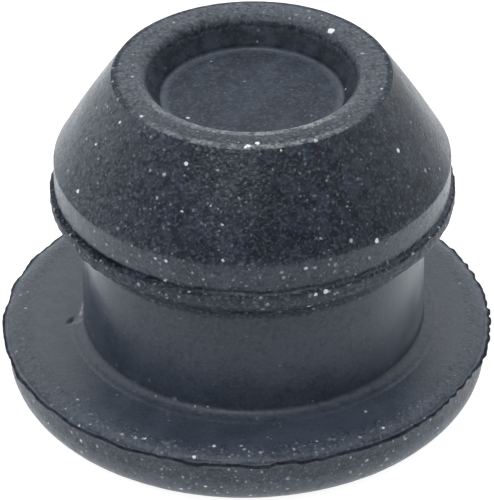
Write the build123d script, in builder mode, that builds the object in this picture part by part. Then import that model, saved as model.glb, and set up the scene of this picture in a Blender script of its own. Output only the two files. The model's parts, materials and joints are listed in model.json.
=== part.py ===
from build123d import *

import os

# Rubber plug for the adjusting hole in a brake disc, one moulded piece turned about Z: a flange that
# covers the hole from outside, a neck that fills the hole through the disc's hat, and a barbed head
# that is squeezed through the hole and springs out behind it. It stands on the flange's outer face,
# head up, with the origin at the centre of that face. All lengths are in millimetres.

# Neck: the waist that the hole grips, as long as the hat's wall is thick
neck_diameter = 15.0
neck_length = 6.0

# Collar: the low sloped foot round the neck's root, which seals against the edge of the hole
collar_overhang = 0.65
collar_height = 0.35

# Flange: the disc below the neck, with a generous round at its outer face
flange_overhang = 3.05
flange_thickness = 2.8
flange_lower_round = 1.4
flange_upper_chamfer = 0.15

# Flange parting line: the thin fin of flash that the mould leaves round the rim
flash_reach = 0.3
flash_thickness = 0.15
flash_depth = 0.25

# Lip: the barb under the head, which catches behind the hole and ends at a parting line
lip_overhang = 1.25
lip_height = 1.0
lip_lower_round = 0.62
lip_step = 0.2

# Head: a straight band above the lip, then a cone that leads into the hole
band_height = 1.4
cone_height = 4.15
nose_edge_round = 0.25

# Recess: the shallow drafted pocket in the nose, which lets the head squeeze, and the land round it
recess_diameter = 8.9
recess_depth = 1.27
recess_draft = 0.5
recess_rim_chamfer = 0.35
nose_land = 1.5

# How much of a wall one rounding may take, alone on it or beside another one, and how close an
# edge's radius and height have to be to count as a match
own_wall_share = 0.9
shared_wall_share = 0.48
edge_match_share = 1e-4

# Heights of the levels that the section steps through
flash_top = flange_thickness - flash_depth
flash_bottom = flash_top - flash_thickness
collar_level = flange_thickness + collar_height
head_base = flange_thickness + neck_length
parting_level = head_base + lip_height
cone_base = parting_level + band_height
nose_level = cone_base + cone_height
recess_floor_level = nose_level - recess_depth

# Radii of the section
neck_radius = neck_diameter / 2
collar_radius = neck_radius + collar_overhang
flange_radius = neck_radius + flange_overhang
flash_radius = flange_radius + flash_reach
lip_radius = neck_radius + lip_overhang
band_radius = lip_radius - lip_step
recess_radius = recess_diameter / 2
recess_floor_radius = recess_radius - recess_draft
nose_radius = recess_radius + nose_land
edge_match = neck_diameter * edge_match_share


def rim(part, radius, height):
    """The circular edges of the part at that radius and height."""
    circles = part.edges().filter_by(GeomType.CIRCLE)
    level = circles.filter_by(lambda edge: abs(edge.arc_center.Z - height) < edge_match)
    return level.filter_by(lambda edge: abs(edge.radius - radius) < edge_match)


def limited(size, own=(), shared=()):
    """A rounding that fits the walls it has to itself and those it shares with another edge."""
    own_limits = [wall * own_wall_share for wall in own]
    shared_limits = [wall * shared_wall_share for wall in shared]
    return min([size] + own_limits + shared_limits)


with BuildPart() as plug:
    # Half section from the outer face up to the nose and down into its recess, turned about the axis
    with BuildSketch(Plane.XZ):
        with BuildLine():
            Polyline(
                (0, 0),
                (flange_radius, 0),
                (flange_radius, flash_bottom),
                (flash_radius, flash_bottom),
                (flash_radius, flash_top),
                (flange_radius, flash_top),
                (flange_radius, flange_thickness - flange_upper_chamfer),
                (flange_radius - flange_upper_chamfer, flange_thickness),
                (collar_radius, flange_thickness),
                (neck_radius, collar_level),
                (neck_radius, head_base),
                (lip_radius, head_base),
                (lip_radius, parting_level),
                (band_radius, parting_level),
                (band_radius, cone_base),
                (nose_radius, nose_level),
                (recess_radius + recess_rim_chamfer, nose_level),
                (recess_radius, nose_level - recess_rim_chamfer),
                (recess_floor_radius, recess_floor_level),
                (0, recess_floor_level),
                close=True,
            )
        make_face()
    revolve(axis=Axis.Z)

    # Rounded edges: the nose, the barb and the flange's outer face
    fillet(
        rim(plug, nose_radius, nose_level),
        limited(nose_edge_round, own=[cone_height], shared=[nose_land]),
    )
    fillet(
        rim(plug, lip_radius, head_base),
        limited(lip_lower_round, own=[lip_height, lip_overhang]),
    )
    fillet(
        rim(plug, flange_radius, 0),
        limited(flange_lower_round, own=[flash_bottom]),
    )

plug.part.label = "plug"
os.makedirs("parts", exist_ok=True)
export_step(plug.part, "parts/plug.step")
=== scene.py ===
import json
import math

import bpy
import numpy as np
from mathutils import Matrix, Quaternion, Vector, noise


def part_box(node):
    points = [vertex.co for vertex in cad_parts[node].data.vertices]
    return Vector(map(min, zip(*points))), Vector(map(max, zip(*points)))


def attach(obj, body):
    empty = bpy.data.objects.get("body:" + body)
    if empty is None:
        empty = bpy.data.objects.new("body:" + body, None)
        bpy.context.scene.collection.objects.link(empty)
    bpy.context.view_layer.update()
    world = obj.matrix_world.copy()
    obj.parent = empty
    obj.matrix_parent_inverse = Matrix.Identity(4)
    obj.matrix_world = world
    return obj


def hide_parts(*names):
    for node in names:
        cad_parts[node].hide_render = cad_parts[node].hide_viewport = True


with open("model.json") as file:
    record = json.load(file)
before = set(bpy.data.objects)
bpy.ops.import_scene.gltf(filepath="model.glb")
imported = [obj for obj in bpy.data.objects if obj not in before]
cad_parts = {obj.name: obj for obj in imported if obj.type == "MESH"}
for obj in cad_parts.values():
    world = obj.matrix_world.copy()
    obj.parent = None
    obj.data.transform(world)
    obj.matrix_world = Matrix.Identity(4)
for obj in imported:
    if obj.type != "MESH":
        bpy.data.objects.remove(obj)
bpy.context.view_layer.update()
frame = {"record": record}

# Lengths are in millimetres and angles in degrees, and 0 degrees round the plug is its front
MM = 0.001
SEGMENTS = 540
SEED = 7
SAME_PLACE = 0.0025

# Overall sizes from the frame: the flash round the flange's rim is the widest ring
node_low, node_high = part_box("plug")
FLASH_RADIUS = (node_high.x - node_low.x) / 2 / MM
HEIGHT = node_high.z / MM
GROOVE = next(mount for mount in frame["record"]["mounts"] if mount["name"] == "neck_groove")
NECK_RADIUS = GROOVE["dims"]["r_mm"]
SEAT_LEVEL = GROOVE["pos_m"][2] / MM
BARB_LEVEL = SEAT_LEVEL + GROOVE["dims"]["length_mm"]

# Flange: a large round below, and a seat on top whose edge eases down
FLASH_REACH = 0.3
FLANGE_RADIUS = FLASH_RADIUS - FLASH_REACH
FOOT_ROUND = 1.4
SEAT_EDGE_WIDTH = 0.8
SEAT_EDGE_DROP = 0.28
SEAT_EDGE_START = 10

# Flash: the thin fin at the flange's parting line, which wanders up and down and is frayed
FLASH_LEVEL = 2.45
FLASH_ROOT = 0.2
FLASH_TIP = 0.12
FLASH_SPREAD = 0.15
FLASH_WANDER = 0.035
FLASH_WANDER_COUNTS = (6, 45)
FLASH_FRAY = 0.012
FLASH_FRAY_COUNTS = (50, 140)

# Its reach as a share of the full one, with waves given as a height and the counts of waves, and the
# stretches where it is short, ragged or torn: middle, width, steepness, change, wave height, wave counts
FLASH_USUAL = 0.75
FLASH_LEAST = 0.1
FLASH_WAVES = ((0.07, (5, 40)), (0.03, (60, 170)))
FLASH_STRETCHES = (
    (-5, 50, 4, -0.45, -0.06, (15, 50)),
    (95, 30, 2, 0.12, 0.15, (60, 110)),
    (60, 11, 4, -0.5, -0.15, (40, 130)),
)

# Collar: a soft foot round the neck, torn on one side to a stump that runs out, with a nick beside it
COLLAR_WIDTH = 0.65
COLLAR_FOOT = NECK_RADIUS + COLLAR_WIDTH
COLLAR_HEIGHT = 0.35
COLLAR_STEP = 0.05
COLLAR_END = 175
COLLAR_FADE = 40
APRON_WIDTH = 0.35
APRON_RADIUS = COLLAR_FOOT + APRON_WIDTH
TEAR_ANGLE = -86.8
TEAR_WIDTH = 2
STUMP_SPAN = 19
STUMP_SHARE = 0.4
NICK_FROM_NECK = 0.55
NICK_RADIUS = NECK_RADIUS + NICK_FROM_NECK
NICK_TURN = 55
NICK_WIDTH = 0.07
NICK_LENGTH = 0.22
NICK_DEPTH = 0.14

# Barb, hollowed into the neck below, and the band above its parting line
BARB_OVERHANG = 1.25
BARB_RADIUS = NECK_RADIUS + BARB_OVERHANG
BARB_HEIGHT = 1.0
BARB_ROUND = 0.62
BARB_EDGE_ROUND = 0.08
UNDERCUT_TILT = 72
PARTING_LEVEL = BARB_LEVEL + BARB_HEIGHT
PARTING_REACH = 0.3
PARTING_WANDER = 0.03
PARTING_COUNTS = (2, 25)
BAND_STEP = 0.2
BAND_RADIUS = BARB_RADIUS - BAND_STEP
BAND_HEIGHT = 1.4

# Crease at the barb's parting line, deepest on one side, and the soft round that fills its corner
# elsewhere. Both vary as shares of their usual size: waves are a height and the counts of waves, and
# sides are a middle and a width
CREASE_WIDTH = 0.14
CREASE_DEPTH = 0.045
CREASE_USUAL = -0.3
CREASE_WAVES = ((0.2, (3, 12)), (0.4, (20, 80)))
CREASE_SIDE = (-60, 35)
CREASE_SIDE_SHARE = 2.2
CREASE_FAR_SIDE = (60, 20)
CREASE_FAR_SHARE = 0.6
CREASE_DEEPEST = 2.4
CREASE_FILL = 0.12
OPEN_SIDE = (-62, 34)
OPEN_SHARE = 1.2
FILL_WAVES = ((0.3, (15, 60)),)

# Cone, nose and recess
CONE_BASE = PARTING_LEVEL + BAND_HEIGHT
CONE_BASE_ROUND = 0.05
CONE_CROWN = 0.06
NOSE_RADIUS = 5.95
NOSE_ROUND = 0.13
NOSE_END = 85
LAND_DROP = 0.03
LAND_CROWN = 0.03
RIM_START = 95
RECESS_RADIUS = 4.45
RECESS_DEPTH = 1.27
RECESS_DRAFT = 0.5
RECESS_RIM_ROUND = 0.45
RECESS_FLOOR_FILLET = 0.15

# The head's half of the mould sat a little to one side of the flange's half
HEAD_SHIFT = 0.31

# Unevenness: a fine grain and a long wave, calm in the middle of the recess
GRAIN_SIZE = 0.35
GRAIN_FALL = 0.8
GRAIN_RATIO = 2.0
GRAIN_OCTAVES = 2
WAVE_SIZE = 4.0
WAVE_DEPTH = 0.012
SMOOTH_MIDDLE = 1.5

# How much of each finish a zone carries, where 1 is a full share, and how uneven it is in millimetres
FINISHES = ("dust", "film", "wear", "matt", "soot", "coarse")
ZONES = {
    # zone: dust, film and painted sheen, wear, matt, soot and painted shade, coarse, unevenness
    "underside": (0.2, 0.08, 0.0, 0.3, 0.0, 0.3, 0.0),
    "foot": (2.4, 0.22, 0.0, 0.2, 0.3, 0.8, 0.006),
    "wall": (2.6, 0.02, 0.0, 0.4, 0.5, 0.8, 0.01),
    # Painted shade: the flash's tip and underside are painted dark, partly for the shadow under the fin and
    # partly for its torn edge
    "flash_tip": (0.0, 0.0, 0.0, 1.0, 1.0, 0.3, 0.0),
    "flash_top": (0.5, 0.0, 0.0, 0.5, 0.3, 0.8, 0.0),
    "seat_edge": (1.9, 0.1, 0.0, 0.5, 0.45, 0.8, 0.01),
    "seat": (0.15, 0.15, 0.0, 0.35, 0.5, 0.4, 0.002),
    "apron": (0.15, 0.15, 0.0, 0.35, 0.5, 0.4, 0.002),
    "collar": (0.1, 0.03, 4.0, 0.6, 0.0, 0.5, 0.006),
    "neck": (0.06, 1.5, 0.0, 0.4, 0.0, 0.5, 0.002),
    # Painted shade in the hollow under the barb
    "hollow": (0.5, 0.0, 0.0, 0.7, 0.6, 1.2, 0.015),
    "barb": (3.6, 0.0, 0.1, 0.7, 0.5, 1.0, 0.04),
    "barb_top": (3.0, 0.0, 0.1, 1.0, 0.75, 1.0, 0.06),
    # Painted shade in the crease at the parting line
    "crease": (0.8, 0.0, 0.0, 1.0, 1.0, 1.0, 0.03),
    "band": (2.0, 1.3, 0.0, 0.0, 0.1, 0.8, 0.008),
    "cone_edge": (1.2, 0.03, 0.2, 0.0, 0.3, 1.0, 0.008),
    "cone": (0.8, 0.47, 0.0, 0.0, 0.75, 0.9, 0.003),
    "nose": (0.8, 0.03, 1.6, 0.9, 0.85, 1.2, 0.008),
    "land": (0.5, 0.11, 0.0, 0.6, 0.85, 1.3, 0.005),
    "rim": (0.4, 0.11, 2.2, 0.6, 0.4, 1.2, 0.01),
    # Painted shade on the recess's wall and floor
    "recess_wall": (0.03, 0.0, 0.0, 0.8, 0.85, 0.3, 0.006),
    "recess_corner": (0.1, 0.08, 0.1, 0.6, 0.0, 0.6, 0.008),
    "recess_floor": (0.1, 0.15, 0.0, 1.0, 0.7, 0.75, 0.008),
}

# How the finishes lie round the plug: where the front begins, as a cosine, and how fast it rises to a full
# share; how much more lies on one side; and sides as a middle, a width and, for a steep one, its steepness
FRONT_START = 0.42
FRONT_RISE = 0.35
FRONT_LEAST = 0.1
WEAR_LEAST = 0.05
SIDE_SHIFT = 0.25
NECK_GLOSS = 0.7
# Painted light: the neck's right side is painted lighter, as if lit from the right, and made more matt
# there
NECK_PAINTED_LIGHT = (95, 42, 4)
NECK_PAINTED_LIGHT_MATT = 1.2
# Painted highlights on the band's right side and, weaker, on its left side
BAND_PAINTED_HIGHLIGHT = (95, 32)
BAND_FAR_PAINTED_HIGHLIGHT = (-95, 26)
BAND_FAR_SHARE = 0.6
# Painted highlight on the cone's left side
CONE_PAINTED_HIGHLIGHT = (-100, 32)
CONE_DUST_FRONT = 0.55
CONE_DUST_SIDES = 0.3
# Painted shade on the barb and in the crease, darkest on the crease's deep side
BARB_CREASE_SHADE = 0.8
BARB_TOP_CREASE_SHADE = BARB_CREASE_SHADE / 3
CREASE_SHADE = 0.6
# Painted shade: the land is painted darker at its front
LAND_FRONT_SHADE = 0.5

# Larger pale flecks: angle round the plug, radius, height, size; and the share of one that is full
FLECKS = (
    (134, 4.78, HEIGHT, 0.2),
    (-2.8, 5.86, HEIGHT, 0.1),
    (-1.7, 5.78, HEIGHT, 0.11),
    (2.2, 5.6, HEIGHT, 0.11),
    (-63.5, 8.21, 11.75, 0.11),
    (-67, 7.1, 13.5, 0.1),
    (-25, 6.46, 14.54, 0.11),
    (59.5, 7.05, 13.6, 0.12),
    (-23, 7.5, 12.87, 0.1),
    (37, 8.5, 11.25, 0.12),
    (20, 8.75, 9.7, 0.12),
    (17, 8.75, 9.65, 0.1),
    (-14, 10.5, 2.65, 0.1),
)
FLECK_CORE = 0.6

# The rubber's colours: the soot colour also paints shade into creases, hollows and the recess, and the film
# colour also paints sheen and highlights on lit sides
BODY_DARK = (0.027, 0.038, 0.058, 1)
BODY_LIGHT = (0.040, 0.053, 0.078, 1)
SOOT_AND_SHADE = (0.007, 0.009, 0.015, 1)
CRUMB = (0.070, 0.082, 0.105, 1)
PIT = (0.004, 0.006, 0.010, 1)
FILM_AND_SHEEN = (0.150, 0.172, 0.190, 1)
WORN = (0.19, 0.20, 0.20, 1)
PALE = (0.73, 0.77, 0.81, 1)

# Small specks, in three sorts: cell, size, share of cells that hold one, dimmest and lightest colour; the
# smallest speck's share of that size, the share of one that is full, and the drift that frays their edges
SPECKS = (
    (0.2, 0.1, 0.45, (0.055, 0.066, 0.088, 1), (0.135, 0.155, 0.185, 1)),
    (0.28, 0.115, 0.2, (0.11, 0.13, 0.155, 1), (0.34, 0.37, 0.41, 1)),
    (0.48, 0.12, 0.11, (0.38, 0.41, 0.45, 1), PALE),
)
SPECK_SMALLEST = 0.5
SPECK_CORE = 0.3
DRIFT_SIZE = 0.15
DRIFT_REACH = 0.13
DRIFT_DETAIL = 1
NOISE_MIDDLE = (0.5, 0.5, 0.5)

# The rubber's noises: size in millimetres, detail, roughness
NOISES = {
    "patches": (1.6, 5, 0.6),
    "blotches": (0.6, 3, 0.5),
    "mottle": (0.28, 3, 0.6),
    "grain": (0.14, 2, 0.5),
}

# What a noise does to a finish: a stretch of the noise's values, and the share at its low and high end
BODY_PATCHES = (0.35, 0.65, 0.0, 1.0)
SOOT_AND_SHADE_BLOTCHES = (0.35, 0.65, 0.38, 1.0)
CRUMBS = (0.5, 0.68, 0.0, 0.75)
PITS = (0.5, 0.32, 0.0, 0.5)
FILM_AND_SHEEN_PATCHES = (0.35, 0.65, 0.4, 0.6)
RUBBED_BLOTCHES = (0.42, 0.6, 0.25, 1.0)
WORN_GRAIN = (0.35, 0.6, 0.1, 0.8)
SPECK_CLUSTERS = (0.35, 0.65, 0.35, 1.65)
DULL_PITS = (0.6, 0.35, 0.0, 0.45)
ROUGH_PATCHES = (0.3, 0.7, 0.24, 0.34)

# The rubber's surface: what matt places and specks add to its roughness, its specular level from shiny to
# dull, and its relief from smooth to coarse
MATT_ROUGHNESS = 0.3
SPECK_ROUGHNESS = 0.3
RUBBER_IOR = 1.5
SPECULAR_RANGE = (0.5, 0.1)
CREST_RANGE = (0.3, 2.0)
SPECK_LIFT = 0.6
BUMP_STRENGTH = 0.36
BUMP_DEPTH = 0.03

# Floor: a sheet just under the plug, with an oval pool of light that fades out, and its look to the camera
FLOOR_SIZE = 400
FLOOR_GAP = 0.02
PAPER_COLOUR = (0.35, 0.35, 0.35, 1)
PAPER_ROUGHNESS = 0.9
PAPER_WHITE = 0.91
POOL_MIDDLE = Vector((-3, 21, 0))
POOL_STRETCH = (0.6, 1, 1)
POOL_CORE = 28
POOL_END = 58
POOL_LIGHT = (0.95, 0.1)

# Studio: its colour, and how bright it is, as a stretch of the direction's X, Y or Z and the brightness at
# the stretch's low and high end; the sides are a factor on the walls
STUDIO_COLOUR = (0.95, 0.98, 1, 1)
STUDIO_WALLS = (-0.9, 0.3, 0.1, 0.75)
STUDIO_SIDES = (-0.8, 0.8, 1.22, 0.95)
STUDIO_BACK = (0.3, 0.8, 0.0, 0.6)
STUDIO_ABOVE = (0.4, 0.9, 0.0, 0.6)

# Softbox
SOFTBOX_PLACE = (-30, -90, 170)
SOFTBOX_SIZE = 110
SOFTBOX_RADIANCE = 3.0

# The photograph's camera
CAMERA_ELEVATION = 34.38
CAMERA_ROLL = -0.45
CAMERA_DISTANCE = 160.3
CAMERA_TARGET = Vector((0.05, 0, 6.19))
CAMERA_LENS = 263.7
CAMERA_SENSOR = 36
CAMERA_NEAR = 10
CAMERA_FAR = 10000


def line(start, end, steps):
    """Points along a straight stretch of the section, both ends included."""
    return [tuple(a + (b - a) * i / steps for a, b in zip(start, end)) for i in range(steps + 1)]


def arc(centre, radius, start, end, steps, rise=None):
    """Points along a round stretch of the section, or an oval one with its own rise, both ends included."""
    angles = [math.radians(start + (end - start) * i / steps) for i in range(steps + 1)]
    return [(centre[0] + radius * math.cos(a), centre[1] + (rise or radius) * math.sin(a)) for a in angles]


def crowned(start, end, crown, steps):
    """Points along a stretch of the section that bulges outwards by the crown, both ends included."""
    length = math.dist(start, end)
    outward = ((end[1] - start[1]) / length, (start[0] - end[0]) / length)
    bulges = [crown * math.sin(math.pi * i / steps) for i in range(steps + 1)]
    points = line(start, end, steps)
    return [(r + outward[0] * bulge, z + outward[1] * bulge) for (r, z), bulge in zip(points, bulges)]


def flange_section():
    """The flange from the middle of its outer face over the flash to the collar, zone by zone."""
    foot_centre = (FLANGE_RADIUS - FOOT_ROUND, FOOT_ROUND)
    flash_low = (FLANGE_RADIUS, FLASH_LEVEL - FLASH_ROOT / 2)
    flash_high = (FLANGE_RADIUS, FLASH_LEVEL + FLASH_ROOT / 2)
    tip_low = (FLASH_RADIUS, FLASH_LEVEL - FLASH_TIP / 2)
    tip_high = (FLASH_RADIUS, FLASH_LEVEL + FLASH_TIP / 2)
    flash_top = line(tip_high, flash_high, steps=5)
    tip_points = 3
    edge_centre = (FLANGE_RADIUS - SEAT_EDGE_WIDTH, SEAT_LEVEL - SEAT_EDGE_DROP)
    seat_edge = arc(edge_centre, SEAT_EDGE_WIDTH, SEAT_EDGE_START, 90, steps=10, rise=SEAT_EDGE_DROP)
    apron = (APRON_RADIUS, SEAT_LEVEL)
    return [
        ("underside", line((FOOT_ROUND, 0), (foot_centre[0], 0), steps=2)),
        ("foot", arc(foot_centre, FOOT_ROUND, -90, 0, steps=8)),
        ("wall", line((FLANGE_RADIUS, FOOT_ROUND), flash_low, steps=6)),
        ("flash_tip", line(flash_low, tip_low, steps=2) + flash_top[:tip_points]),
        ("flash_top", flash_top[tip_points:]),
        ("seat_edge", seat_edge),
        ("seat", line(seat_edge[-1], apron, steps=5)),
        ("apron", line(apron, (COLLAR_FOOT, SEAT_LEVEL), steps=10)),
    ]


def crease_section():
    """The crease at the barb's parting line: half an oval, cut into the band."""
    half_width = CREASE_WIDTH / 2
    middle = PARTING_LEVEL + half_width
    half_circle = arc((0, 0), 1, -180, 0, steps=6)
    return [(BAND_RADIUS + CREASE_DEPTH * dip, middle + half_width * side) for side, dip in half_circle]


def neck_section():
    """The collar, the neck, the barb and the crease above it, zone by zone."""
    step = (COLLAR_FOOT - 2 * COLLAR_STEP, SEAT_LEVEL + COLLAR_STEP)
    rise = COLLAR_HEIGHT - COLLAR_STEP
    collar = arc((step[0], step[1] + rise), step[0] - NECK_RADIUS, 270, 180, steps=10, rise=rise)
    tilt = math.radians(UNDERCUT_TILT)
    hollow = (BARB_RADIUS - NECK_RADIUS) / (1 - math.cos(tilt)) - BARB_ROUND
    lower_centre = (BARB_RADIUS - BARB_ROUND, BARB_LEVEL + BARB_ROUND)
    lower = arc(lower_centre, BARB_ROUND, -UNDERCUT_TILT, 0, steps=8)
    hollow_points = 3
    hollow_level = lower[0][1] - hollow * math.sin(tilt)
    top = arc((NECK_RADIUS + hollow, hollow_level), hollow, 180, 180 - UNDERCUT_TILT, steps=8)
    upper_centre = (BARB_RADIUS - BARB_EDGE_ROUND, PARTING_LEVEL - BARB_EDGE_ROUND)
    upper = arc(upper_centre, BARB_EDGE_ROUND, 0, 90, steps=3)
    return [
        ("collar", [(COLLAR_FOOT, SEAT_LEVEL)] + collar),
        ("neck", line(collar[-1], top[0], steps=8)),
        ("hollow", top[1:] + lower[:hollow_points]),
        ("barb", lower[hollow_points:] + line(lower[-1], upper[0], steps=3)),
        ("barb_top", upper[1:]),
        ("crease", crease_section()),
    ]


def head_section():
    """The band, the cone, the nose and the recess, zone by zone."""
    slope = math.degrees(math.atan2(BAND_RADIUS - NOSE_RADIUS, HEIGHT - CONE_BASE))
    base_level = CONE_BASE - CONE_BASE_ROUND * math.tan(math.radians(slope / 2))
    base = arc((BAND_RADIUS - CONE_BASE_ROUND, base_level), CONE_BASE_ROUND, 0, slope, steps=2)
    nose_inset = NOSE_ROUND * math.tan(math.radians(90 - slope) / 2)
    nose_centre = (NOSE_RADIUS - nose_inset, HEIGHT - LAND_DROP - NOSE_ROUND)
    nose = arc(nose_centre, NOSE_ROUND, slope, NOSE_END, steps=5)
    rim_centre = (RECESS_RADIUS + RECESS_RIM_ROUND, HEIGHT - RECESS_RIM_ROUND)
    rim = arc(rim_centre, RECESS_RIM_ROUND, RIM_START, 180, steps=7)
    land = crowned(nose[-1], rim[0], LAND_CROWN, steps=9)
    land_start = 2
    land_end = 8
    floor_level = HEIGHT - RECESS_DEPTH
    corner_radius = RECESS_RADIUS - RECESS_DRAFT - RECESS_FLOOR_FILLET
    corner_centre = (corner_radius, floor_level + RECESS_FLOOR_FILLET)
    corner = arc(corner_centre, RECESS_FLOOR_FILLET, 0, -90, steps=5)
    return [
        ("band", line((BAND_RADIUS, PARTING_LEVEL + CREASE_WIDTH), base[0], steps=8)),
        ("cone_edge", base),
        ("cone", crowned(base[-1], nose[0], CONE_CROWN, steps=24)),
        ("nose", nose + land[1:land_start]),
        ("land", land[land_start:land_end]),
        ("rim", land[land_end:] + rim[1:]),
        ("recess_wall", line(rim[-1], corner[0], steps=5)),
        ("recess_corner", corner),
        ("recess_floor", line(corner[-1], (RECESS_FLOOR_FILLET, floor_level), steps=14)),
    ]


def section_rows():
    """The whole half section as (zone, radius, height) rows, each place once."""
    rows = []
    for zone, points in flange_section() + neck_section() + head_section():
        for radius, height in points:
            if not rows or math.dist(rows[-1][1:], (radius, height)) > SAME_PLACE:
                rows.append((zone, radius, height))
    return rows


def ring_wave(angles, lowest, highest, rng):
    """A wobble round the ring, about 1 high, made of the given numbers of waves."""
    counts = range(lowest, highest + 1)
    waves = [rng.normal() * np.cos(count * angles + rng.uniform(0, 2 * math.pi)) for count in counts]
    return sum(waves) / math.sqrt(len(counts) / 2)


def ring_waves(angles, waves, rng):
    """Wobbles round the ring added up, each given as its height and its counts of waves."""
    return sum(height * ring_wave(angles, *counts, rng) for height, counts in waves)


def bump_round(angles, middle, width, power=2):
    """A soft step that is 1 at the middle angle and fades over the width, both in degrees."""
    return np.exp(-(np.abs((np.degrees(angles) - middle) / width) ** power))


def flash_share(angles, rng):
    """How far the flash reaches, as a share of its full reach."""
    share = FLASH_USUAL + ring_waves(angles, FLASH_WAVES, rng)
    for middle, width, power, change, height, counts in FLASH_STRETCHES:
        wave = height * ring_wave(angles, *counts, rng)
        share += bump_round(angles, middle, width, power) * (change + wave)
    return np.clip(share, FLASH_LEAST, 1)


def collar_share(angles):
    """How much of the collar's width is left: all of it in front, a little behind the tear."""
    past = np.degrees(angles) - TEAR_ANGLE
    before = COLLAR_END - np.degrees(angles)
    whole = np.clip(past / TEAR_WIDTH, 0, 1) * np.clip(before / COLLAR_FADE, 0, 1)
    stump = STUMP_SHARE * np.clip(1 + past / STUMP_SPAN, 0, 1) * (past < TEAR_WIDTH)
    return np.maximum(whole, stump)


def crease_share(angles, rng):
    """How deep the crease is, as a share of its usual depth: uneven, and deepest on one side."""
    share = CREASE_USUAL + ring_waves(angles, CREASE_WAVES, rng)
    share += CREASE_SIDE_SHARE * bump_round(angles, *CREASE_SIDE)
    share += CREASE_FAR_SHARE * bump_round(angles, *CREASE_FAR_SIDE)
    return np.clip(share, 0, CREASE_DEEPEST)


def crease_fill(angles, rng):
    """How far the corner at the parting line is filled by a soft round: all of it but on one side."""
    share = 1 - OPEN_SHARE * bump_round(angles, *OPEN_SIDE) + ring_waves(angles, FILL_WAVES, rng)
    return np.clip(share, 0, 1)


def nick(angles, radius):
    """How deep the nick beside the tear is at each place of a ring, as a share of its full depth."""
    along = np.radians(np.degrees(angles) - TEAR_ANGLE) * NICK_RADIUS
    across = np.reshape(radius, -1) - NICK_RADIUS
    turn = math.radians(NICK_TURN)
    lengthwise = along * math.sin(turn) + across * math.cos(turn)
    sideways = along * math.cos(turn) - across * math.sin(turn)
    return np.exp(-((sideways / NICK_WIDTH) ** 2) - (lengthwise / NICK_LENGTH) ** 2)


def grain_at(point):
    """The fine grain at a place."""
    return noise.fractal(Vector(point) / GRAIN_SIZE, GRAIN_FALL, GRAIN_RATIO, GRAIN_OCTAVES)


def unevenness(points, depth):
    """How far each place of a ring stands out of the true section."""
    grain = [depth * grain_at(point) for point in points]
    wave = [WAVE_DEPTH * noise.noise(Vector(point) / WAVE_SIZE) for point in points]
    return np.array(grain) + np.array(wave)


def ring(zone, radius, height, normal, angles, shares, wanders):
    """One ring of the mesh, with what is torn or uneven about it, and with the head's shift."""
    if zone in shares:
        root, share = shares[zone]
        radius = root + (radius - root) * share
    if zone == "crease":
        radius = radius + shares["fill"] * (1 - (height - PARTING_LEVEL) / CREASE_WIDTH) ** 2
    around = np.stack([np.sin(angles), -np.cos(angles)], axis=1)
    points = np.column_stack([around * np.reshape(radius, (-1, 1)), np.full(SEGMENTS, height)])
    if height > 0:
        calm = min(1, np.mean(radius) / SMOOTH_MIDDLE)
        lift = unevenness(points, ZONES[zone][-1]) * calm
        points[:, :2] += around * (normal[0] * lift)[:, None]
        points[:, 2] += normal[1] * lift
        for level, reach, wander in wanders:
            points[:, 2] += wander * math.exp(-(((height - level) / reach) ** 2))
    if zone in ("apron", "collar"):
        points[:, 2] -= NICK_DEPTH * nick(angles, radius)
    on_head = 1.0 if height > SEAT_LEVEL or zone == "apron" else 0.0
    if zone == "seat":
        on_head = (FLANGE_RADIUS - radius) / (FLANGE_RADIUS - APRON_RADIUS)
    points[:, 0] += HEAD_SHIFT * on_head
    return points, radius


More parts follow.
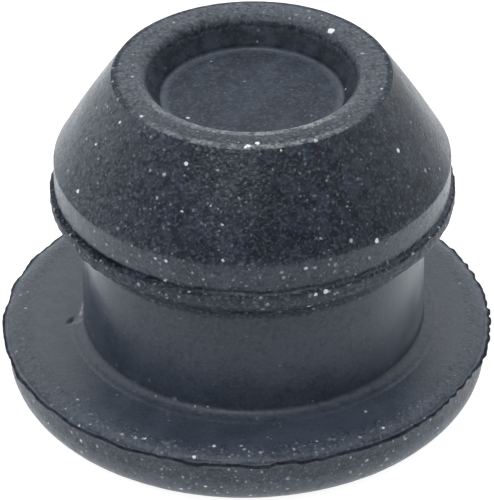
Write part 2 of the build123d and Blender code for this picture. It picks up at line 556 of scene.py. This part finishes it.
def layout(angles):
    """How a zone's finish lies round the ring, as a factor on its amount, where it doesn't lie evenly;
    several of these factors paint light and shade onto one side or the front.
    """
    front = np.clip((np.cos(angles) - FRONT_START) / FRONT_RISE, FRONT_LEAST, 1)
    behind = 1 + FRONT_LEAST - front
    shift = SIDE_SHIFT * np.sin(angles)
    leftward = 1 - SIDE_SHIFT - shift
    creased = bump_round(angles, *CREASE_SIDE)
    # Painted shade in the crease, darker on its deep side
    crease_shade = np.clip(CREASE_SHADE + CREASE_SHADE * creased, 0, 1)
    # Painted light on the neck's right side and painted highlights on the band's two sides
    neck_painted_light = bump_round(angles, *NECK_PAINTED_LIGHT)
    band_far_highlight = BAND_FAR_SHARE * bump_round(angles, *BAND_FAR_PAINTED_HIGHLIGHT)
    # All finishes lie towards the front here, so the hollow's painted shade is strongest at the front
    factors = {(zone, finish): front for zone in ("flash_top", "neck", "hollow") for finish in FINISHES}
    factors |= {(zone, "wear"): np.clip(np.cos(angles), WEAR_LEAST, 1) ** 2 for zone in ZONES}
    factors |= {(zone, "dust"): front for zone in ("seat_edge", "seat")}
    factors |= {(zone, "film"): leftward for zone in ("seat_edge", "seat", "apron")}
    # Soot and painted shade on the seat lie mostly behind and to the left, so its front, in the head's
    # shade, is painted lighter
    factors |= {(zone, "soot"): behind * leftward for zone in ("seat_edge", "seat", "apron")}
    factors |= {(zone, "soot"): behind for zone in ("nose", "rim")}
    factors |= {("crease", finish): crease_shade for finish in ("matt", "soot")}
    # In this table the neck's film paints light on its right side, the band's film paints highlights on its
    # sides, the cone's film paints a highlight on its left and its soot paints its right side darker, and
    # the land's soot paints shade at its front
    factors |= {
        ("collar", "wear"): bump_round(angles, TEAR_ANGLE - STUMP_SPAN / 2, STUMP_SPAN / 2, power=4),
        ("neck", "film"): neck_painted_light,
        ("neck", "matt"): (1 + NECK_GLOSS) * front - NECK_GLOSS + NECK_PAINTED_LIGHT_MATT * neck_painted_light,
        ("barb", "soot"): 1 + BARB_CREASE_SHADE * creased,
        ("barb_top", "soot"): 1 + BARB_TOP_CREASE_SHADE * creased,
        ("band", "film"): bump_round(angles, *BAND_PAINTED_HIGHLIGHT) + band_far_highlight,
        ("cone", "dust"): CONE_DUST_FRONT + CONE_DUST_SIDES * np.abs(np.sin(angles)) - shift,
        ("cone", "film"): bump_round(angles, *CONE_PAINTED_HIGHLIGHT),
        ("cone", "soot"): 1 + shift,
        ("cone", "coarse"): 1 - shift,
        ("land", "soot"): 1 - LAND_FRONT_SHADE + LAND_FRONT_SHADE * front,
    }
    return factors


def carried(zone, finish, factors, angles, radius):
    """How much of a finish a zone carries at each place of a ring."""
    amount = ZONES[zone][FINISHES.index(finish)] * factors.get((zone, finish), np.ones(SEGMENTS))
    if zone == "apron" and finish in ("soot", "matt"):
        amount = np.maximum(amount, nick(angles, radius))
    return amount


def grid_faces(rows):
    """Quads between the rings, and a fan over each end."""
    bottom = rows * SEGMENTS
    top = bottom + 1
    last = bottom - SEGMENTS
    faces = []
    for j in range(SEGMENTS):
        k = (j + 1) % SEGMENTS
        faces += [(i + j, i + k, i + SEGMENTS + k, i + SEGMENTS + j) for i in range(0, last, SEGMENTS)]
        faces += [(bottom, k, j), (top, last + j, last + k)]
    return faces


def store(mesh, name, values):
    """One finish as an attribute of the mesh's points."""
    attribute = mesh.attributes.new(name, "FLOAT", "POINT")
    attribute.data.foreach_set("value", np.array(values, dtype=np.float32))


def section_normals(rows):
    """The outward direction at each row of the section."""
    tangents = np.gradient(np.array([row[1:] for row in rows]), axis=0)
    tangents /= np.linalg.norm(tangents, axis=1)[:, None]
    return [(tangent[1], -tangent[0]) for tangent in tangents]


def plug_rings(rows, angles):
    """The rings of the mesh, each with its radius, ragged and torn where the real plug is."""
    rng = np.random.default_rng(SEED)
    flash = flash_share(angles, rng)
    collar = collar_share(angles)
    torn = NECK_RADIUS + COLLAR_WIDTH * collar
    shares = {
        "flash_tip": (FLANGE_RADIUS, flash),
        "flash_top": (FLANGE_RADIUS, flash),
        "apron": (APRON_RADIUS, (APRON_RADIUS - torn) / (APRON_RADIUS - COLLAR_FOOT)),
        "collar": (NECK_RADIUS, collar),
        "crease": (BAND_RADIUS, crease_share(angles, rng)),
        "fill": CREASE_FILL * crease_fill(angles, rng),
    }
    wanders = [
        (PARTING_LEVEL, PARTING_REACH, PARTING_WANDER * ring_wave(angles, *PARTING_COUNTS, rng)),
        (FLASH_LEVEL, FLASH_SPREAD, FLASH_WANDER * ring_wave(angles, *FLASH_WANDER_COUNTS, rng)),
        (FLASH_LEVEL, FLASH_SPREAD, FLASH_FRAY * ring_wave(angles, *FLASH_FRAY_COUNTS, rng)),
    ]
    normals = section_normals(rows)
    return [ring(*row, normal, angles, shares, wanders) for row, normal in zip(rows, normals)]


def plug_mesh():
    """The moulded plug as one closed mesh, with its finishes as attributes."""
    rows = section_rows()
    angles = np.linspace(-math.pi, math.pi, SEGMENTS, endpoint=False)
    rings = plug_rings(rows, angles)
    ends = [(0, 0, 0), (HEAD_SHIFT, 0, rows[-1][2])]
    points = np.concatenate([points for points, radius in rings] + [ends])
    mesh = bpy.data.meshes.new("plug_rubber")
    mesh.from_pydata((points * MM).tolist(), [], grid_faces(len(rows)))
    zones = [zone for zone, radius, height in rows]
    radii = [radius for points, radius in rings]
    factors = layout(angles)
    for finish in FINISHES:
        values = [carried(zone, finish, factors, angles, radius) for zone, radius in zip(zones, radii)]
        store(mesh, finish, np.append(np.concatenate(values), [values[0][0], values[-1][0]]))
    mesh.shade_smooth()
    return mesh


def add(tree, kind, inputs=None, **settings):
    """A new node with its settings, and its inputs set to values or linked to sockets."""
    made = tree.nodes.new(kind)
    for name, value in settings.items():
        setattr(made, name, value)
    for name, value in (inputs or {}).items():
        if isinstance(value, bpy.types.NodeSocket):
            tree.links.new(value, made.inputs[name])
        else:
            made.inputs[name].default_value = value
    return made


def maths(tree, operation, first, second):
    """The result of one sum on sockets or numbers."""
    return add(tree, "ShaderNodeMath", {0: first, 1: second}, operation=operation).outputs[0]


def moved(tree, operation, first, second):
    """The node of one sum on two vectors."""
    return add(tree, "ShaderNodeVectorMath", {0: first, 1: second}, operation=operation)


def spread(tree, value, low, high, to_low=0.0, to_high=1.0):
    """The value's stretch from low to high, eased, as a stretch from to_low to to_high."""
    inputs = {"Value": value, "From Min": low, "From Max": high, "To Min": to_low, "To Max": to_high}
    return add(tree, "ShaderNodeMapRange", inputs, interpolation_type="SMOOTHSTEP").outputs[0]


def mixed(tree, factor, first, second):
    """Two colours mixed by a factor: the node's inputs 6 and 7 and its output 2 are colours."""
    return add(tree, "ShaderNodeMix", {0: factor, 6: first, 7: second}, data_type="RGBA").outputs[2]


def cloudy(tree, place, size, detail, roughness):
    """Noise whose patches are about that many millimetres wide."""
    inputs = {"Vector": place, "Scale": 1 / (size * MM), "Detail": detail, "Roughness": roughness}
    return add(tree, "ShaderNodeTexNoise", inputs).outputs[0]


def finish_of(tree, name):
    """One of the mesh's finishes as a socket."""
    return add(tree, "ShaderNodeAttribute", attribute_name=name).outputs["Fac"]


def ragged(tree, place):
    """The place, drifting a little with a noise, so that what is drawn there gets ragged edges."""
    inputs = {"Vector": place, "Scale": 1 / (DRIFT_SIZE * MM), "Detail": DRIFT_DETAIL}
    drift = add(tree, "ShaderNodeTexNoise", inputs).outputs["Color"]
    centred = moved(tree, "SUBTRACT", drift, NOISE_MIDDLE).outputs[0]
    shift = moved(tree, "MULTIPLY", centred, (DRIFT_REACH * MM,) * 3).outputs[0]
    return moved(tree, "ADD", place, shift).outputs[0]


def speckle(tree, place, cell, size, density):
    """Specks up to that size, one to a cell at most: where they are, and how light each is."""
    cells = add(tree, "ShaderNodeTexVoronoi", {"Vector": place, "Scale": 1 / (cell * MM)})
    chance = add(tree, "ShaderNodeSeparateColor", {0: cells.outputs["Color"]})
    present = maths(tree, "LESS_THAN", chance.outputs[0], density)
    reach = spread(tree, chance.outputs[1], 0, 1, size / cell * SPECK_SMALLEST, size / cell)
    away = maths(tree, "DIVIDE", cells.outputs["Distance"], reach)
    return maths(tree, "MULTIPLY", spread(tree, away, SPECK_CORE, 1, 1, 0), present), chance.outputs[2]


def flecks(tree, place):
    """Where the larger flecks are."""
    mask = None
    for angle, radius, height, size in FLECKS:
        turn = math.radians(angle)
        middle = Vector((radius * math.sin(turn) + HEAD_SHIFT, -radius * math.cos(turn), height)) * MM
        away = moved(tree, "DISTANCE", place, middle).outputs["Value"]
        spot = spread(tree, away, size * MM * FLECK_CORE, size * MM, 1, 0)
        mask = maths(tree, "MAXIMUM", mask, spot) if mask else spot
    return mask


def rubber_body(tree, finish, noises):
    """The rubber's colour without specks: sooty and painted with shade, crumbly, pitted, filmed over and
    painted with sheen, and worn at its edges.
    """
    blotches, grain = noises["blotches"], noises["grain"]
    rubbed = maths(tree, "MULTIPLY", finish["wear"], spread(tree, blotches, *RUBBED_BLOTCHES))
    layers = (
        # Soot and painted shade: a dark colour in creases, the hollow, the flash's tip, the recess and
        # shaded sides
        (finish["soot"], spread(tree, blotches, *SOOT_AND_SHADE_BLOTCHES), SOOT_AND_SHADE),
        (finish["coarse"], spread(tree, grain, *CRUMBS), CRUMB),
        (finish["coarse"], spread(tree, noises["mottle"], *PITS), PIT),
        # Film and painted sheen: a pale film of dust that also paints highlights on the lit sides of the
        # neck, band and cone
        (finish["film"], spread(tree, noises["patches"], *FILM_AND_SHEEN_PATCHES), FILM_AND_SHEEN),
        (rubbed, spread(tree, grain, *WORN_GRAIN), WORN),
    )
    body = mixed(tree, spread(tree, noises["patches"], *BODY_PATCHES), BODY_DARK, BODY_LIGHT)
    for amount, pattern, colour in layers:
        body = mixed(tree, maths(tree, "MULTIPLY", amount, pattern), body, colour)
    return body


def specked(tree, body, place, dust, patches):
    """The colour with pale specks and flecks on it, and where those stand up."""
    clusters = maths(tree, "MULTIPLY", dust, spread(tree, patches, *SPECK_CLUSTERS))
    spots = flecks(tree, place)
    raised = spots
    for cell, size, share, dim, light in SPECKS:
        specks, lightness = speckle(tree, place, cell, size, maths(tree, "MULTIPLY", clusters, share))
        body = mixed(tree, specks, body, mixed(tree, lightness, dim, light))
        raised = maths(tree, "MAXIMUM", raised, specks)
    return mixed(tree, spots, body, PALE), raised


def rubber_roughness(tree, finish, patches, raised):
    """How rough the rubber is: uneven, and rougher where it is matt and on specks."""
    rough = maths(tree, "MULTIPLY", finish["matt"], MATT_ROUGHNESS)
    rough = maths(tree, "ADD", spread(tree, patches, *ROUGH_PATCHES), rough)
    return maths(tree, "ADD", rough, maths(tree, "MULTIPLY", raised, SPECK_ROUGHNESS))


def rubber_specular(tree, finish, mottle):
    """How strongly the rubber reflects: less where it is matt with soot or painted shade, and in its pits.
    """
    pitted = maths(tree, "MULTIPLY", finish["coarse"], spread(tree, mottle, *DULL_PITS))
    dull = maths(tree, "MAXIMUM", maths(tree, "MULTIPLY", finish["soot"], finish["matt"]), pitted)
    return spread(tree, dull, 0, 1, *SPECULAR_RANGE)


def rubber_bump(tree, finish, grain, raised):
    """The rubber's fine relief: its grain, and the specks that lie on it."""
    crests = maths(tree, "MULTIPLY", grain, spread(tree, finish["coarse"], 0, 1, *CREST_RANGE))
    lift = maths(tree, "ADD", crests, maths(tree, "MULTIPLY", raised, SPECK_LIFT))
    inputs = {"Height": lift, "Strength": BUMP_STRENGTH, "Distance": BUMP_DEPTH * MM}
    return add(tree, "ShaderNodeBump", inputs).outputs[0]


def rubber():
    """Matt black moulded rubber with a grain, worn edges, a film of dust, pale specks, painted shade and
    painted highlights.
    """
    material = bpy.data.materials.new("rubber")
    material.use_nodes = True
    tree = material.node_tree
    shader = tree.nodes["Principled BSDF"]
    place = add(tree, "ShaderNodeTexCoord").outputs["Object"]
    finish = {name: finish_of(tree, name) for name in FINISHES}
    noises = {name: cloudy(tree, place, *settings) for name, settings in NOISES.items()}
    body = rubber_body(tree, finish, noises)
    body, raised = specked(tree, body, ragged(tree, place), finish["dust"], noises["patches"])
    surface = {
        "Base Color": body,
        "Roughness": rubber_roughness(tree, finish, noises["patches"], raised),
        "Specular IOR Level": rubber_specular(tree, finish, noises["mottle"]),
        "Normal": rubber_bump(tree, finish, noises["grain"], raised),
    }
    for name, socket in surface.items():
        tree.links.new(socket, shader.inputs[name])
    shader.inputs["IOR"].default_value = RUBBER_IOR
    return material


def make_plug():
    """The plug's visible piece, which stands for the plain solid."""
    plug = bpy.data.objects.new("plug_rubber", plug_mesh())
    bpy.context.scene.collection.objects.link(plug)
    plug.data.materials.append(rubber())
    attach(plug, "root")
    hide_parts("plug")


def paper():
    """A white light table: brightest round the plug, and white to the camera but for a faint shadow."""
    material = bpy.data.materials.new("paper")
    material.use_nodes = True
    tree = material.node_tree
    sheet = tree.nodes["Principled BSDF"]
    sheet.inputs["Base Color"].default_value = PAPER_COLOUR
    sheet.inputs["Roughness"].default_value = PAPER_ROUGHNESS
    sheet.inputs["Specular IOR Level"].default_value = 0
    place = add(tree, "ShaderNodeTexCoord").outputs["Object"]
    oval = moved(tree, "MULTIPLY", place, POOL_STRETCH).outputs[0]
    away = moved(tree, "DISTANCE", oval, POOL_MIDDLE * MM).outputs["Value"]
    pool = spread(tree, away, POOL_CORE * MM, POOL_END * MM, *POOL_LIGHT)
    glow = add(tree, "ShaderNodeEmission", {"Color": STUDIO_COLOUR, "Strength": pool})
    white = add(tree, "ShaderNodeEmission", {"Strength": PAPER_WHITE})
    seen = add(tree, "ShaderNodeLightPath").outputs["Is Camera Ray"]
    lit = add(tree, "ShaderNodeMixShader", {0: seen, 1: glow.outputs[0], 2: white.outputs[0]})
    both = add(tree, "ShaderNodeAddShader", {0: lit.outputs[0], 1: sheet.outputs[0]})
    tree.links.new(both.outputs[0], tree.nodes["Material Output"].inputs["Surface"])
    return material


def make_floor():
    """A plain pale floor under the plug."""
    size = FLOOR_SIZE * MM
    level = -FLOOR_GAP * MM
    corners = [(-size, -size, level), (size, -size, level), (size, size, level), (-size, size, level)]
    mesh = bpy.data.meshes.new("floor")
    mesh.from_pydata(corners, [], [(0, 1, 2, 3)])
    mesh.materials.append(paper())
    floor = bpy.data.objects.new("floor", mesh)
    bpy.context.scene.collection.objects.link(floor)


def make_world():
    """A white studio: bright behind and overhead, a little dimmer to the right, dark behind the camera."""
    world = bpy.data.worlds.new("studio")
    world.use_nodes = True
    bpy.context.scene.world = world
    tree = world.node_tree
    room = tree.nodes["Background"]
    way = add(tree, "ShaderNodeTexCoord").outputs["Generated"]
    parts = add(tree, "ShaderNodeSeparateXYZ", {0: way})
    walls = spread(tree, parts.outputs["Y"], *STUDIO_WALLS)
    sides = spread(tree, parts.outputs["X"], *STUDIO_SIDES)
    back = spread(tree, parts.outputs["Y"], *STUDIO_BACK)
    above = spread(tree, parts.outputs["Z"], *STUDIO_ABOVE)
    level = maths(tree, "ADD", maths(tree, "MULTIPLY", walls, sides), maths(tree, "ADD", back, above))
    tree.links.new(level, room.inputs["Strength"])
    room.inputs["Color"].default_value = STUDIO_COLOUR
    white = add(tree, "ShaderNodeBackground", {"Color": (1, 1, 1, 1), "Strength": 1})
    seen = add(tree, "ShaderNodeLightPath").outputs["Is Camera Ray"]
    both = add(tree, "ShaderNodeMixShader", {0: seen, 1: room.outputs[0], 2: white.outputs[0]})
    tree.links.new(both.outputs[0], tree.nodes["World Output"].inputs["Surface"])


def make_softbox():
    """A square softbox above the camera, facing the plug."""
    lamp = bpy.data.lights.new("softbox_front", "AREA")
    lamp.size = SOFTBOX_SIZE * MM
    lamp.energy = SOFTBOX_RADIANCE * math.pi * lamp.size**2
    holder = bpy.data.objects.new("softbox_front", lamp)
    holder.location = Vector(SOFTBOX_PLACE) * MM
    towards = Vector((0, 0, HEIGHT / 2)) * MM - holder.location
    holder.rotation_euler = towards.to_track_quat("-Z", "Y").to_euler()
    holder.visible_camera = False
    bpy.context.scene.collection.objects.link(holder)


def make_camera():
    """The photograph's camera: a long lens from the front, looking down at the plug and a touch askew."""
    elevation = math.radians(CAMERA_ELEVATION)
    back = Vector((0, -math.cos(elevation), math.sin(elevation)))
    lens = bpy.data.cameras.new("camera")
    lens.sensor_width = CAMERA_SENSOR
    lens.lens = CAMERA_LENS
    lens.clip_start = CAMERA_NEAR * MM
    lens.clip_end = CAMERA_FAR * MM
    camera = bpy.data.objects.new("camera", lens)
    camera.location = (CAMERA_TARGET + back * CAMERA_DISTANCE) * MM
    camera.rotation_mode = "QUATERNION"
    roll = Quaternion((0, 0, 1), math.radians(CAMERA_ROLL))
    camera.rotation_quaternion = (-back).to_track_quat("-Z", "Y") @ roll
    bpy.context.scene.collection.objects.link(camera)
    bpy.context.scene.camera = camera


make_plug()
make_floor()
make_world()
make_softbox()
make_camera()

bpy.context.scene.view_settings.view_transform = "Standard"
